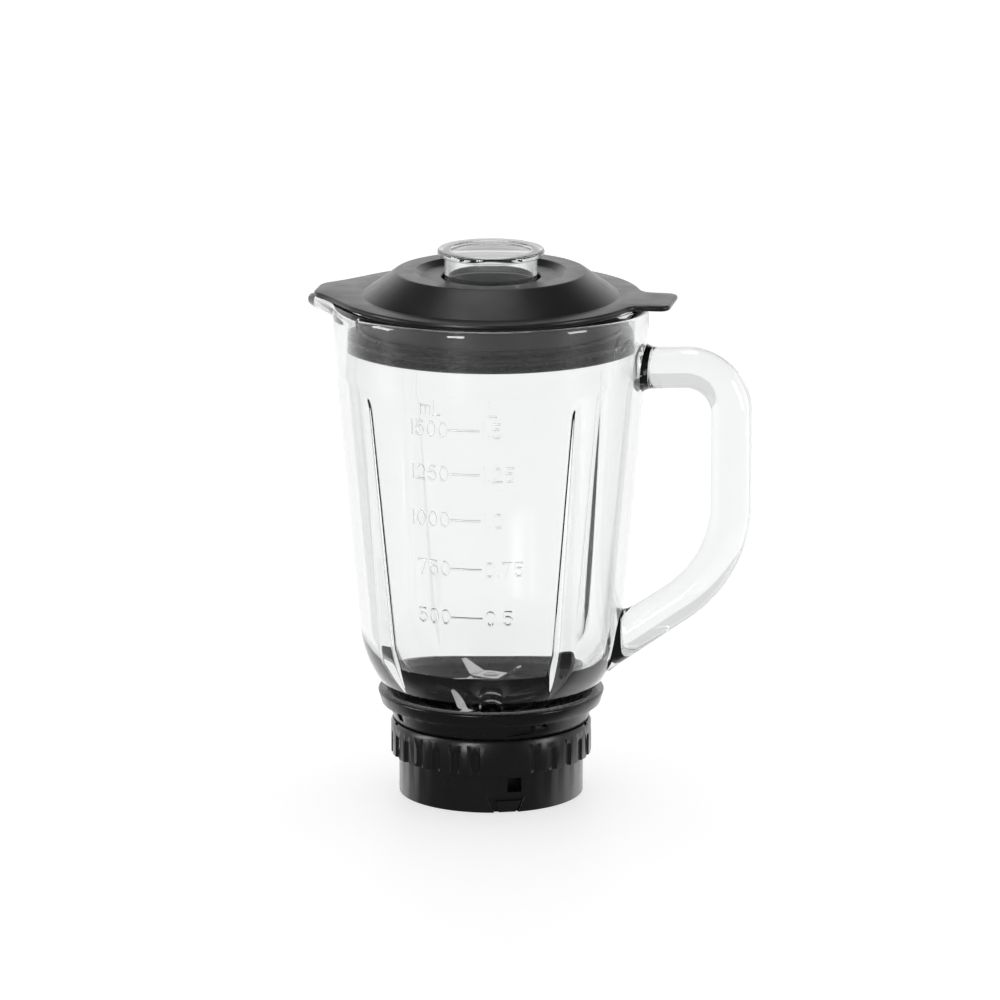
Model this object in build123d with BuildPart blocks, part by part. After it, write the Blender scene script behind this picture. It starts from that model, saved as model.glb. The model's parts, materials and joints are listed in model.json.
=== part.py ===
"""Jug assembly of a countertop blender: lid, measuring cap, glass jug and blade unit.

Frame: the origin is on the jug's axis at the bottom edge of the screw collar, +Z is up,
the handle points along +X, the pouring spout along -X, and the graduated side faces -Y.
Lengths are millimetres. Polar angles are degrees from +X, counterclockwise from above.
"""

import os
from math import cos, radians, sin

from build123d import *

os.makedirs("parts", exist_ok=True)

# ---------------------------------------------------------------- driving dimensions
# Screw collar
COLLAR_H = 34.5
GRIP_R = 46.0
GRIP_H = 15.8
SKIRT_R = 42.3
SKIRT_BORE_R = 39.5
COLLAR_BORE_R = 43.3
SHOULDER_Z = 20.2
LEDGE_Z = 16.5
LEDGE_THICK = 2.3
LEDGE_BORE_R = 33.0
GROOVES_PER_SIDE = 13
GROOVE_PITCH = 12.1
BLANK_CENTRE = -71.4
FRONT_TURN = 10.0

# Jug heights count from the neck's lower edge, which stands NECK_Z above the origin.
NECK_Z = 21.3
JUG_H = 209.0
NECK_R = 41.8
NECK_BORE_R = 36.5
NECK_TOP = 17.0
FLARE_R, FLARE_TOP = 47.4, 27.6
FOOT_R, FOOT_TOP = 60.2, 57.0
WALL_R, WALL_TOP = 70.9, 177.0
RIM_R = 72.0
RIM_WALL = 5.9
FOOT_WALL = 5.3
BOWL_R, BOWL_Z = 50.56, 45.7
HIP_R, HIP_Z = 38.8, 30.1

# Thread between neck and collar: four short ridges pass four lugs
THREAD_STARTS = 4
RIDGE_R = 43.0
RIDGE_ARC = 64.0
RIDGE_MID = 5.3
RIDGE_LEAN = 2.8
LUG_ARC = 18.0
LUG_Z = 28.2
LUG_H = 2.4
LUG_R = 42.15

# Handle
HANDLE_D = 19.0
HANDLE_X = 110.6
HANDLE_TOP = 182.0
HANDLE_LOW = 88.7

# Sealing ring and blade carrier
SEAL_R = 39.2
SEAL_BORE_R = 33.5
FLOOR_Z = 18.9
CONE_TOP_Z = 37.8
CONE_BASE_R = 29.0
CONE_TOP_R = 8.4
SHAFT_R = 3.0
RUN_CLEARANCE = 0.03

# Lid, measured from the underside of its brim, which lies on the rim
LID_GAP = 0.2
BRIM_R = 68.8
BRIM_H = 2.5
LID_SKIRT_R = 59.1
LID_SKIRT_H = 21.0
LID_WALL = 2.4
CAP_HOLE_R = 22.4
CAP_R = 21.1
CAP_FLANGE_R = 24.4
CAP_TOP = 23.3

# ---------------------------------------------------------------- derived values
RIM_Z = NECK_Z + JUG_H
LID_Z = RIM_Z + LID_GAP
GRIP_Z = COLLAR_H - GRIP_H
RIM_BORE_R = RIM_R - RIM_WALL
LEAN = (WALL_R - FOOT_R) / (WALL_TOP - FOOT_TOP)
WALL_UP = (LEAN, 1)
THREAD_PITCH = 360 / THREAD_STARTS


def finish(part, label):
    """Name a finished piece and write its file."""
    part.label = label
    export_step(part, f"parts/{label}.step")


def facing(angle, radius, z):
    """A plane that faces outwards at a polar angle, its X across and its Y up."""
    a = radians(angle)
    return Plane(
        origin=(radius * cos(a), radius * sin(a), z),
        x_dir=(-sin(a), cos(a), 0),
        z_dir=(cos(a), sin(a), 0),
    )


def ring(outer_r, inner_r, height, z, label):
    """A plain round ring or washer on the axis."""
    with BuildPart() as washer:
        with BuildSketch(Plane.XY.offset(z)):
            Circle(outer_r)
            Circle(inner_r, mode=Mode.SUBTRACT)
        extrude(amount=height)
    finish(washer.part, label)


# ---------------------------------------------------------------- screw collar
GROOVE_CUT_R = 2.4
GROOVE_CENTRE_R = GRIP_R + 1.27
GROOVE_TOP_Z = 27.5
LIP_CHAMFER = 0.8
RIM_NICK_SPREAD = 17.5
WINDOW_TURN, WINDOW_Z, WINDOW_SIZE = -65.3, 12.8, 6.6

with BuildPart() as screw_collar:
    with BuildSketch(Plane.XZ):
        with BuildLine():
            Polyline(
                (SKIRT_BORE_R, 0),
                (SKIRT_R, 0),
                (SKIRT_R, GRIP_Z),
                (GRIP_R, GRIP_Z),
                (GRIP_R, COLLAR_H - 2 * LIP_CHAMFER),
                (GRIP_R - LIP_CHAMFER, COLLAR_H),
                (COLLAR_BORE_R + LIP_CHAMFER / 2, COLLAR_H),
                (COLLAR_BORE_R, COLLAR_H - LIP_CHAMFER),
                (COLLAR_BORE_R, SHOULDER_Z),
                (SKIRT_BORE_R, SHOULDER_Z),
                (SKIRT_BORE_R, LEDGE_Z),
                (LEDGE_BORE_R, LEDGE_Z),
                (LEDGE_BORE_R, LEDGE_Z - LEDGE_THICK),
                (SKIRT_BORE_R, LEDGE_Z - LEDGE_THICK),
                close=True,
            )
        make_face()
    revolve(axis=Axis.Z)
    # finger grooves in two groups, with a plain stretch at the front and at the back
    for side in (0, 180):
        first = side + BLANK_CENTRE + (180 - (GROOVES_PER_SIDE - 1) * GROOVE_PITCH) / 2
        for groove in range(GROOVES_PER_SIDE):
            a = radians(first + groove * GROOVE_PITCH)
            at = (GROOVE_CENTRE_R * cos(a), GROOVE_CENTRE_R * sin(a))
            with Locations((*at, GROOVE_TOP_Z)):
                Sphere(GROOVE_CUT_R, mode=Mode.SUBTRACT)
                Cylinder(
                    GROOVE_CUT_R,
                    GROOVE_TOP_Z,
                    align=(Align.CENTER, Align.CENTER, Align.MAX),
                    mode=Mode.SUBTRACT,
                )
    # lugs that the neck's thread turns under
    for start in range(THREAD_STARTS):
        lug_turn = (start + 0.5) * THREAD_PITCH - LUG_ARC / 2
        with BuildSketch(Plane.XZ.rotated((0, 0, lug_turn))):
            with BuildLine():
                Polyline(
                    (COLLAR_BORE_R + 0.5, LUG_Z),
                    (LUG_R, LUG_Z + 0.3),
                    (LUG_R, LUG_Z + LUG_H - 0.6),
                    (COLLAR_BORE_R + 0.5, LUG_Z + LUG_H),
                    close=True,
                )
            make_face()
        revolve(axis=Axis.Z, revolution_arc=LUG_ARC)
    # square socket in the skirt, with its housing on the inside
    with BuildSketch(facing(WINDOW_TURN, SKIRT_BORE_R - 6, LEDGE_Z)):
        Rectangle(WINDOW_SIZE + 3, WINDOW_SIZE + 2, align=(Align.CENTER, Align.MAX))
    extrude(amount=7)
    with BuildSketch(facing(WINDOW_TURN, SKIRT_BORE_R - 4.5, WINDOW_Z)):
        Rectangle(WINDOW_SIZE, WINDOW_SIZE)
    extrude(amount=9, mode=Mode.SUBTRACT)
    # dovetail recess at the bottom edge, with a raised key inside it
    with BuildSketch(facing(-70.6, SKIRT_R - 2.0, 0)):
        Polygon((-8.75, 7), (8.75, 7), (5.0, -1), (-5.0, -1), align=None)
    extrude(amount=5, mode=Mode.SUBTRACT)
    with BuildSketch(facing(-70.6, SKIRT_R - 2.3, 0)):
        Polygon((-4.6, 5.2), (7.4, 5.2), (4.4, 0), (-3.4, 0), align=None)
    extrude(amount=1.5)
    # shallow nicks in the upper lip, two at each end
    for end in (FRONT_TURN, FRONT_TURN + 180):
        for spread in (-RIM_NICK_SPREAD, RIM_NICK_SPREAD):
            with BuildSketch(facing(end + spread, GRIP_R - 1.5, COLLAR_H)):
                Rectangle(3.4, 1.6)
            extrude(amount=5, mode=Mode.SUBTRACT)
finish(screw_collar.part, "screw_collar")

# ---------------------------------------------------------------- blade carrier
CARRIER_R = 39.3
BOSS_R = 9.0
BOSS_Z = 11.5
BEARING_R = 5.0
CONE_WALL = 2.5
FIN_R = 29.5
FIN_TURNS = (-8, 112, 232)

with BuildPart() as blade_carrier:
    with BuildSketch(Plane.XY.offset(LEDGE_Z)):
        Circle(CARRIER_R)
    extrude(amount=FLOOR_Z - LEDGE_Z)
    # raised disc inside the sealing ring
    with BuildSketch(Plane.XY.offset(FLOOR_Z)):
        Circle(SEAL_BORE_R - 0.3)
    extrude(amount=1.0)
    # six-sided cone, hollow from below
    with BuildSketch(Plane.XY.offset(FLOOR_Z).rotated((0, 0, FRONT_TURN))):
        RegularPolygon(CONE_BASE_R, 6)
    with BuildSketch(Plane.XY.offset(CONE_TOP_Z).rotated((0, 0, FRONT_TURN))):
        RegularPolygon(CONE_TOP_R, 6)
    loft()
    with BuildSketch(Plane.XY.offset(LEDGE_Z).rotated((0, 0, FRONT_TURN))):
        RegularPolygon(CONE_BASE_R - CONE_WALL, 6)
    with BuildSketch(Plane.XY.offset(CONE_TOP_Z - 2 * CONE_WALL).rotated((0, 0, FRONT_TURN))):
        RegularPolygon(CONE_TOP_R + 1.0, 6)
    loft(mode=Mode.SUBTRACT)
    # boss for the bearings
    with BuildSketch(Plane.XY.offset(BOSS_Z)):
        Circle(BOSS_R)
    extrude(amount=CONE_TOP_Z - 2 * CONE_WALL - BOSS_Z)
    with BuildSketch(Plane.XY.offset(BOSS_Z)):
        Circle(BEARING_R)
    extrude(amount=CONE_TOP_Z - BOSS_Z, mode=Mode.SUBTRACT)
    # groove for the retaining ring
    with BuildSketch(Plane.XY.offset(BOSS_Z + 0.5)):
        Circle(BEARING_R + 0.9)
    extrude(amount=1.0, mode=Mode.SUBTRACT)
    # three rounded finger fins
    for turn in FIN_TURNS:
        with BuildSketch(facing(turn, FIN_R, FLOOR_Z + 1)):
            with BuildLine():
                ThreePointArc((-8.6, 0), (0, 6.6), (8.6, 0))
                Line((8.6, 0), (-8.6, 0))
            make_face()
        extrude(amount=2.0)
finish(blade_carrier.part, "blade_carrier")

# ---------------------------------------------------------------- bearings and shaft seals
SLEEVE_R = 5.8
SLEEVE_TOP_Z = CONE_TOP_Z + 5.0
SLEEVE_LOW_Z = 31.0
SEAL_POCKET_R = 4.7
SEAL_POCKET_Z = 38.6
RUN_R = SHAFT_R + RUN_CLEARANCE

with BuildPart() as bearing_sleeve:
    with BuildSketch(Plane.XZ):
        with BuildLine():
            Polyline(
                (RUN_R, SLEEVE_LOW_Z),
                (BEARING_R, SLEEVE_LOW_Z),
                (BEARING_R, CONE_TOP_Z),
                (SLEEVE_R, CONE_TOP_Z),
                (SLEEVE_R, CONE_TOP_Z + 1.7),
                (SLEEVE_R - 0.5, CONE_TOP_Z + 2.1),
                (SLEEVE_R - 0.5, CONE_TOP_Z + 2.7),
                (SLEEVE_R, CONE_TOP_Z + 3.1),
                (SLEEVE_R, SLEEVE_TOP_Z - 0.6),
                (SLEEVE_R - 0.6, SLEEVE_TOP_Z),
                (SEAL_POCKET_R, SLEEVE_TOP_Z),
                (SEAL_POCKET_R, SEAL_POCKET_Z),
                (RUN_R, SEAL_POCKET_Z),
                close=True,
            )
        make_face()
    revolve(axis=Axis.Z)
finish(bearing_sleeve.part, "bearing_sleeve")

SHAFT_SEAL_H = 1.7

with BuildPart() as shaft_seals:
    for z in (SEAL_POCKET_Z, SEAL_POCKET_Z + SHAFT_SEAL_H + 0.4):
        with BuildSketch(Plane.XZ):
            with BuildLine():
                Polyline(
                    (SEAL_POCKET_R, z),
                    (SEAL_POCKET_R, z + SHAFT_SEAL_H),
                    (SEAL_POCKET_R - 0.8, z + SHAFT_SEAL_H),
                    (SEAL_POCKET_R - 1.0, z + 0.7),
                    (RUN_R, z + SHAFT_SEAL_H - 0.3),
                    (RUN_R, z + 0.5),
                    (RUN_R + 0.6, z),
                    close=True,
                )
            make_face()
        revolve(axis=Axis.Z)
finish(shaft_seals.part, "shaft_seals")

BUSH_Z = BOSS_Z + 1.5
BUSH_H = 7.0

ring(BEARING_R, RUN_R, BUSH_H, BUSH_Z, "lower_bearing")
SPACER_LOW_Z = BUSH_Z + BUSH_H
ring(BEARING_R, BEARING_R - 0.9, SLEEVE_LOW_Z - SPACER_LOW_Z, SPACER_LOW_Z, "bearing_spacer")

# split ring in the groove below the lower bearing
with BuildPart() as bearing_circlip:
    with BuildSketch(Plane.XY.offset(BOSS_Z + 0.5)):
        Circle(BEARING_R + 0.8)
        Circle(BEARING_R - 0.9, mode=Mode.SUBTRACT)
        with Locations((0, -BEARING_R)):
            Rectangle(3.2, 4, mode=Mode.SUBTRACT)
    extrude(amount=1.0)
finish(bearing_circlip.part, "bearing_circlip")

# ---------------------------------------------------------------- sealing ring under the neck
with BuildPart() as jug_seal:
    with BuildSketch(Plane.XZ):
        with BuildLine():
            Polyline(
                (SEAL_BORE_R, FLOOR_Z),
                (SEAL_R, FLOOR_Z),
                (SEAL_R, NECK_Z - 0.3),
                (SEAL_R - 0.3, NECK_Z),
                (NECK_BORE_R - 0.6, NECK_Z),
                (NECK_BORE_R - 1.0, NECK_Z - 0.5),
                (SEAL_BORE_R + 0.4, NECK_Z - 0.5),
                (SEAL_BORE_R, NECK_Z - 0.9),
                close=True,
            )
        make_face()
    revolve(axis=Axis.Z)
finish(jug_seal.part, "jug_seal")

# ---------------------------------------------------------------- glass jug
RIDGE_TURN = RIDGE_ARC / 2
RIB_TURNS = (45, 135, 225, 315)
RIB_TOP = (63.7, 171.0)
RIB_KNEE = (50.7, 55.0)
RIB_END = (40.2, 27.0)


def spout_section(z, tip_x, tip_r, base_x, base_half):
    """Plan of the spout at one height: a wedge with a round tip."""
    with BuildSketch(Plane.XY.offset(z)) as section:
        with BuildLine():
            CenterArc((tip_x + tip_r, 0), tip_r, 90, 180)
            Line((base_x, -base_half), (base_x, base_half))
        make_hull()
    return section.sketch


def rib_bar(upper, lower, below, above):
    """A bar with its edge on the line from lower to upper, for one stretch of an inner rib."""
    run = Vector(upper[0] - lower[0], 0, upper[1] - lower[1])
    along = run.normalized()
    start = Vector(lower[0], 0, lower[1] + NECK_Z) - along * below
    with BuildPart() as bar:
        with BuildSketch(Plane(origin=start, x_dir=Vector(0, 1, 0).cross(along), z_dir=along)):
            with BuildLine():
                Polyline((14, -16.5), (1.2, -1.4))
                ThreePointArc((1.2, -1.4), (0.2, 0), (1.2, 1.4))
                Polyline((1.2, 1.4), (14, 16.5), (14, -16.5))
            make_face()
        extrude(amount=run.length + below + above)
    return bar.part


upper_rib = rib_bar(RIB_TOP, RIB_KNEE, 25, 0)
lower_rib = rib_bar(RIB_KNEE, RIB_END, 0, 20)

# one thread ridge, its middle towards +X, leaning so that it climbs counterclockwise
with BuildPart() as ridge:
    with BuildSketch(Plane.XZ.rotated((0, 0, -RIDGE_TURN))):
        with BuildLine():
            Polyline(
                (NECK_R - 0.8, -1.5),
                (NECK_R, -1.3),
                (RIDGE_R, -0.7),
                (RIDGE_R, 0.7),
                (NECK_R, 1.3),
                (NECK_R - 0.8, 1.5),
                close=True,
            )
        make_face()
    revolve(axis=Axis.Z, revolution_arc=RIDGE_ARC)

# the space inside the jug, notched by the four ribs
with BuildPart() as cavity:
    with BuildSketch(Plane.XZ):
        with BuildLine():
            neck = Line((NECK_BORE_R, NECK_Z - 1), (NECK_BORE_R, NECK_Z + 19))
            hip = Line(neck @ 1, (HIP_R, NECK_Z + HIP_Z))
            side = Line(
                (FOOT_R - FOOT_WALL, NECK_Z + FOOT_TOP),
                (RIM_BORE_R - 0.6, NECK_Z + WALL_TOP),
            )
            bowl = TangentArc(side @ 0, (BOWL_R, NECK_Z + BOWL_Z), tangent=(-LEAN, -1))
            Line(bowl @ 1, hip @ 1)
            mouth = Line(side @ 1, (RIM_BORE_R, RIM_Z + 1))
            Polyline(mouth @ 1, (0, RIM_Z + 1), (0, NECK_Z - 1), neck @ 0)
        make_face()
    revolve(axis=Axis.Z)
    with PolarLocations(0, 4, 45):
        add(upper_rib, mode=Mode.SUBTRACT)
        add(lower_rib, mode=Mode.SUBTRACT)
    # pouring channel of the spout
    channel = [
        spout_section(RIM_Z - 5.0, -66.4, 1.5, -56, 29),
        spout_section(RIM_Z + 0.5, -80.4, 1.8, -58, 30),
    ]
    loft(channel)

with BuildPart() as glass_jug:
    with BuildSketch(Plane.XZ):
        with BuildLine():
            neck = Line((NECK_R, NECK_Z), (NECK_R, NECK_Z + NECK_TOP))
            flare = Line(neck @ 1, (FLARE_R, NECK_Z + FLARE_TOP))
            side = Line((FOOT_R, NECK_Z + FOOT_TOP), (WALL_R, NECK_Z + WALL_TOP))
            TangentArc(side @ 0, flare @ 1, tangent=(-LEAN, -1))
            shoulder = TangentArc(side @ 1, (RIM_R, RIM_Z - 6), tangent=WALL_UP)
            Polyline(shoulder @ 1, (RIM_R, RIM_Z), (0, RIM_Z), (0, NECK_Z), neck @ 0)
        make_face()
    revolve(axis=Axis.Z)
    # spout, growing out of the wall in three stages
    stages = [
        spout_section(RIM_Z - 17, -70.6, 3.0, -60, 8),
        spout_section(RIM_Z - 11.5, -75.0, 4.5, -60, 22),
        spout_section(RIM_Z - 5.5, -85.0, 6.6, -60, 34),
        spout_section(RIM_Z, -85.0, 6.6, -60, 34),
    ]
    for low, high in zip(stages, stages[1:]):
        loft([low, high])
    # handle: one rod with a tight upper and a wide lower bend
    with BuildLine() as handle_path:
        FilletPolyline(
            (66.0, 0, NECK_Z + 179.6),
            (HANDLE_X, 0, NECK_Z + HANDLE_TOP),
            (HANDLE_X, 0, NECK_Z + HANDLE_LOW),
            (47.4, 0, NECK_Z + 43.6),
            radius=[20.5, 58.0],
        )
    with BuildSketch(Plane(origin=handle_path.line @ 0, z_dir=handle_path.line % 0)):
        Circle(HANDLE_D / 2)
    sweep(path=handle_path.line)
    for start in range(THREAD_STARTS):
        turn = start * THREAD_PITCH
        lean = Location((0, 0, 0), (RIDGE_LEAN, 0, 0))
        with Locations(Location((0, 0, NECK_Z + RIDGE_MID), (0, 0, turn)) * lean):
            add(ridge.part)
    add(cavity.part, mode=Mode.SUBTRACT)
finish(glass_jug.part, "glass_jug")

# ---------------------------------------------------------------- ring round the jug's foot
BAND_BOTTOM = 13.5
BAND_TOP = 20.8
FLANGE_R = 51.9

with BuildPart() as jug_ring:
    with BuildSketch(Plane.XZ):
        with BuildLine():
            Polyline(
                (NECK_R, NECK_Z + BAND_BOTTOM),
                (44.7, NECK_Z + BAND_BOTTOM),
                (47.1, NECK_Z + BAND_TOP),
                (50.3, NECK_Z + BAND_TOP + 0.5),
                (FLANGE_R, NECK_Z + 26.6),
                (FLANGE_R - 0.6, NECK_Z + 27.3),
                (FLARE_R, NECK_Z + FLARE_TOP),
                (NECK_R, NECK_Z + NECK_TOP),
                close=True,
            )
        make_face()
    revolve(axis=Axis.Z)
    # snap windows
    for turn in (-144, 94):
        with BuildSketch(facing(turn, 44.3, NECK_Z + 18.2)):
            Rectangle(4.2, 4.4)
        extrude(amount=5, mode=Mode.SUBTRACT)
    # stepped slot at the front and the short slot beside it
    with BuildSketch(facing(-63.5, 44.6, NECK_Z + 15)):
        Polygon(
            (-6.8, 0.9),
            (-5.0, 2.8),
            (4.4, 3.2),
            (4.4, 5.0),
            (6.6, 5.0),
            (6.6, 1.4),
            (-5.0, 0.4),
            align=None,
        )
    extrude(amount=5, mode=Mode.SUBTRACT)
    with BuildSketch(facing(-50.2, 44.8, NECK_Z + 18.2)):
        Polygon((-2.4, 1.8), (1.8, 1.8), (3.0, 1.0), (1.8, 0), (-2.4, 0), align=None)
    extrude(amount=5, mode=Mode.SUBTRACT)
finish(jug_ring.part, "jug_ring")

# ---------------------------------------------------------------- lid
CONE_FOOT_R = 58.9
CONE_RIM_R, CONE_RIM_Z = 43.0, 13.2
DISH_R, DISH_Z = 31.0, 10.8
TUBE_LOW = -14.0
CAP_LEDGE = -12.2
TAB_TIP_X = 84.0
TAB_HALF = 15.7

# flat brim with the spout cover at one end and the grip tab at the other
with BuildPart() as brim:
    with BuildSketch(Plane.XY.offset(LID_Z)) as outline:
        Circle(BRIM_R)
        with BuildSketch(mode=Mode.PRIVATE) as spout_cover:
            with BuildLine():
                CenterArc((-68.7, 5), 12, 90, 90)
                CenterArc((-68.7, -5), 12, 180, 90)
                Line((-60, -31), (-60, 31))
            make_hull()
        add(spout_cover.sketch)
        with Locations(((TAB_TIP_X + 40) / 2, 0)):
            Rectangle(TAB_TIP_X - 40, 2 * TAB_HALF)
        fillet(outline.vertices().group_by(Axis.X)[-1], radius=5)
        edge = outline.vertices().filter_by_position(Axis.X, 60, 70)
        roots = [v for v in edge if abs(abs(v.Y) - TAB_HALF) < 0.5]
        fillet(roots, radius=9)
    extrude(amount=BRIM_H)
    rims = brim.edges().group_by(Axis.Z)
    fillet(rims[0] + rims[-1], radius=0.9)

with BuildPart() as lid_cover:
    add(brim.part)
    # raised cone with a dished top, and the skirt that goes into the jug
    with BuildSketch(Plane.XZ):
        with BuildLine():
            Polyline(
                (0, LID_Z - LID_SKIRT_H),
                (LID_SKIRT_R, LID_Z - LID_SKIRT_H),
                (LID_SKIRT_R, LID_Z + BRIM_H),
                (CONE_FOOT_R, LID_Z + BRIM_H - 0.4),
                (CONE_RIM_R, LID_Z + CONE_RIM_Z),
                (DISH_R + 3, LID_Z + CONE_RIM_Z),
                (DISH_R, LID_Z + DISH_Z),
                (0, LID_Z + DISH_Z),
                close=True,
            )
        make_face()
    revolve(axis=Axis.Z)
    # hollow between the skirt and the tube that holds the cap
    with BuildSketch(Plane.XZ):
        with BuildLine():
            Polyline(
                (CAP_HOLE_R + 2, LID_Z - LID_SKIRT_H - 1),
                (LID_SKIRT_R - LID_WALL, LID_Z - LID_SKIRT_H - 1),
                (LID_SKIRT_R - LID_WALL, LID_Z + 0.6),
                (CONE_RIM_R - 0.8, LID_Z + CONE_RIM_Z - LID_WALL),
                (DISH_R + 5, LID_Z + CONE_RIM_Z - LID_WALL),
                (DISH_R + 2, LID_Z + DISH_Z - LID_WALL),
                (CAP_HOLE_R + 2, LID_Z + DISH_Z - LID_WALL),
                close=True,
            )
        make_face()
    revolve(axis=Axis.Z, mode=Mode.SUBTRACT)
    # hole for the cap, with the ledge that it stands on
    with BuildSketch(Plane.XZ):
        with BuildLine():
            Polyline(
                (0, LID_Z + DISH_Z + 1),
                (CAP_HOLE_R, LID_Z + DISH_Z + 1),
                (CAP_HOLE_R, LID_Z + CAP_LEDGE),
                (CAP_HOLE_R - 2.2, LID_Z + CAP_LEDGE),
                (CAP_HOLE_R - 2.2, LID_Z + TUBE_LOW),
                (CAP_HOLE_R + 2, LID_Z + TUBE_LOW),
                (CAP_HOLE_R + 2, LID_Z - LID_SKIRT_H - 1),
                (0, LID_Z - LID_SKIRT_H - 1),
                close=True,
            )
        make_face()
    revolve(axis=Axis.Z, mode=Mode.SUBTRACT)
finish(lid_cover.part, "lid_cover")

# rubber sleeve on the lid's skirt, with two lips
LIP_R = 65.5
LIP_ROOT_R = LID_SKIRT_R + 1.5

with BuildPart() as lid_seal:
    with BuildSketch(Plane.XZ):
        with BuildLine():
            Polyline(
                (LID_SKIRT_R, LID_Z - LID_SKIRT_H),
                (LIP_ROOT_R, LID_Z - LID_SKIRT_H),
                (LIP_ROOT_R, LID_Z - 20.6),
                (LIP_R, LID_Z - 19.9),
                (LIP_R, LID_Z - 18.9),
                (LIP_ROOT_R, LID_Z - 18.6),
                (LIP_ROOT_R, LID_Z - 15.4),
                (LIP_R, LID_Z - 14.7),
                (LIP_R, LID_Z - 13.7),
                (LIP_ROOT_R, LID_Z - 13.4),
                (LIP_ROOT_R - 0.4, LID_Z - 11),
                (LID_SKIRT_R, LID_Z - 11),
                close=True,
            )
        make_face()
    revolve(axis=Axis.Z)
finish(lid_seal.part, "lid_seal")

# ---------------------------------------------------------------- measuring cap
CAP_FLANGE_H = 2.8
CAP_WALL = 1.8

with BuildPart() as measuring_cap:
    with BuildSketch(Plane.XZ):
        with BuildLine():
            Polyline(
                (0, LID_Z + CAP_TOP - 0.8),
                (18.3, LID_Z + CAP_TOP - 0.8),
                (18.3, LID_Z + CAP_TOP),
                (CAP_FLANGE_R - 1, LID_Z + CAP_TOP),
                (CAP_FLANGE_R, LID_Z + CAP_TOP - 1),
                (CAP_FLANGE_R, LID_Z + CAP_TOP - CAP_FLANGE_H),
                (CAP_R, LID_Z + CAP_TOP - CAP_FLANGE_H),
                (CAP_R, LID_Z + CAP_LEDGE + 0.2),
                (CAP_R - CAP_WALL, LID_Z + CAP_LEDGE + 0.2),
                (CAP_R - CAP_WALL - 0.3, LID_Z + CAP_TOP - CAP_FLANGE_H - 0.3),
                (CAP_R - CAP_WALL - 0.8, LID_Z + CAP_TOP - CAP_FLANGE_H),
                (0, LID_Z + CAP_TOP - CAP_FLANGE_H),
                close=True,
            )
        make_face()
    revolve(axis=Axis.Z)
finish(measuring_cap.part, "measuring_cap")

# ---------------------------------------------------------------- blades and drive
SPACER_Z = SLEEVE_TOP_Z + 0.2
BLADE_T = 1.4
LOWER_BLADE_Z = SPACER_Z + 3.8
UPPER_BLADE_Z = LOWER_BLADE_Z + BLADE_T
RIVET_Z = UPPER_BLADE_Z + BLADE_T
RIVET_R = 3.8
RIVET_H = 0.6
COUPLING_Z = 1.5
COUPLING_H = 9.0
COUPLING_R = 17.0


def bent_blade(z, bend_x, tip_x, rise, root_half, tip_half, turn):
    """A blade of two mirrored wings: a bent strip trimmed to its plan."""
    with BuildPart() as blade:
        with BuildSketch(Plane.XZ):
            with BuildLine() as strip:
                spine = FilletPolyline(
                    (-tip_x, z + rise),
                    (-bend_x, z),
                    (bend_x, z),
                    (tip_x, z + rise),
                    radius=2.5,
                )
                offset(spine, amount=BLADE_T, side=Side.LEFT)
            make_face()
        extrude(amount=20, both=True)
        with BuildSketch(Plane.XY.offset(z - 20)):
            with BuildLine():
                for end in (1, -1):
                    CenterArc((end * (tip_x - tip_half), 0), tip_half, -90 * end, 180)
                    Polyline((end * 5.5, root_half + 1), (end * 5.5, -root_half - 1))
            make_hull()
        extrude(amount=40, mode=Mode.INTERSECT)
        Cylinder(SHAFT_R, 100, mode=Mode.SUBTRACT)
    return blade.part.rotate(Axis.Z, turn)


finish(bent_blade(UPPER_BLADE_Z, 8.7, 16.6, 9.7, 6.2, 1.8, 155), "upper_blade")
finish(bent_blade(LOWER_BLADE_Z, 6.8, 21.1, -8.1, 5.3, 1.6, 212), "lower_blade")

# steel spindle through both bearings, its upper end riveted over the blades
with BuildPart() as drive_shaft:
    with BuildSketch(Plane.XZ):
        with BuildLine():
            Polyline(
                (0, 3.0),
                (SHAFT_R, 3.0),
                (SHAFT_R, RIVET_Z),
                (RIVET_R, RIVET_Z),
                (RIVET_R, RIVET_Z + RIVET_H / 2),
                (RIVET_R - 0.4, RIVET_Z + RIVET_H),
                (2.5, RIVET_Z + RIVET_H),
                (2.2, RIVET_Z + RIVET_H / 2),
                (1.9, RIVET_Z + RIVET_H),
                (0, RIVET_Z + RIVET_H),
                close=True,
            )
        make_face()
    revolve(axis=Axis.Z)
finish(drive_shaft.part, "drive_shaft")

ring(4.9, SHAFT_R, LOWER_BLADE_Z - SPACER_Z, SPACER_Z, "blade_spacer")

# toothed socket under the jug
INSERT_R = 5.0
TOOTH_COUNT = 12
SOCKET_R = 12.6

with BuildPart() as drive_coupling:
    with BuildSketch(Plane.XY.offset(COUPLING_Z)):
        Circle(COUPLING_R)
        Circle(INSERT_R, mode=Mode.SUBTRACT)
    extrude(amount=COUPLING_H)
    with BuildSketch(Plane.XY.offset(COUPLING_Z)):
        Circle(SOCKET_R)
        Circle(INSERT_R + 1.6, mode=Mode.SUBTRACT)
        with PolarLocations(SOCKET_R, TOOTH_COUNT):
            Rectangle(3.6, 2.6)
    extrude(amount=COUPLING_H - 2.4, mode=Mode.SUBTRACT)
    chamfer(drive_coupling.edges().group_by(Axis.Z)[-1].sort_by(SortBy.LENGTH)[-1], length=1.0)
finish(drive_coupling.part, "drive_coupling")

ring(INSERT_R, SHAFT_R, COUPLING_H - 1.5, COUPLING_Z + 1.5, "coupling_insert")
ring(8.0, RUN_R, 0.8, COUPLING_Z + COUPLING_H, "thrust_washer")
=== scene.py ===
"""Looks for the blender's jug assembly: glass, plastics, rubber and steel round the CAD frame.

Lengths are metres; mm() turns the millimetres of a drawing into them. Heights of the jug count
from its neck's lower edge and heights of the lid from its brim's underside, as on the bench.
"""

import json
import math

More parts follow.
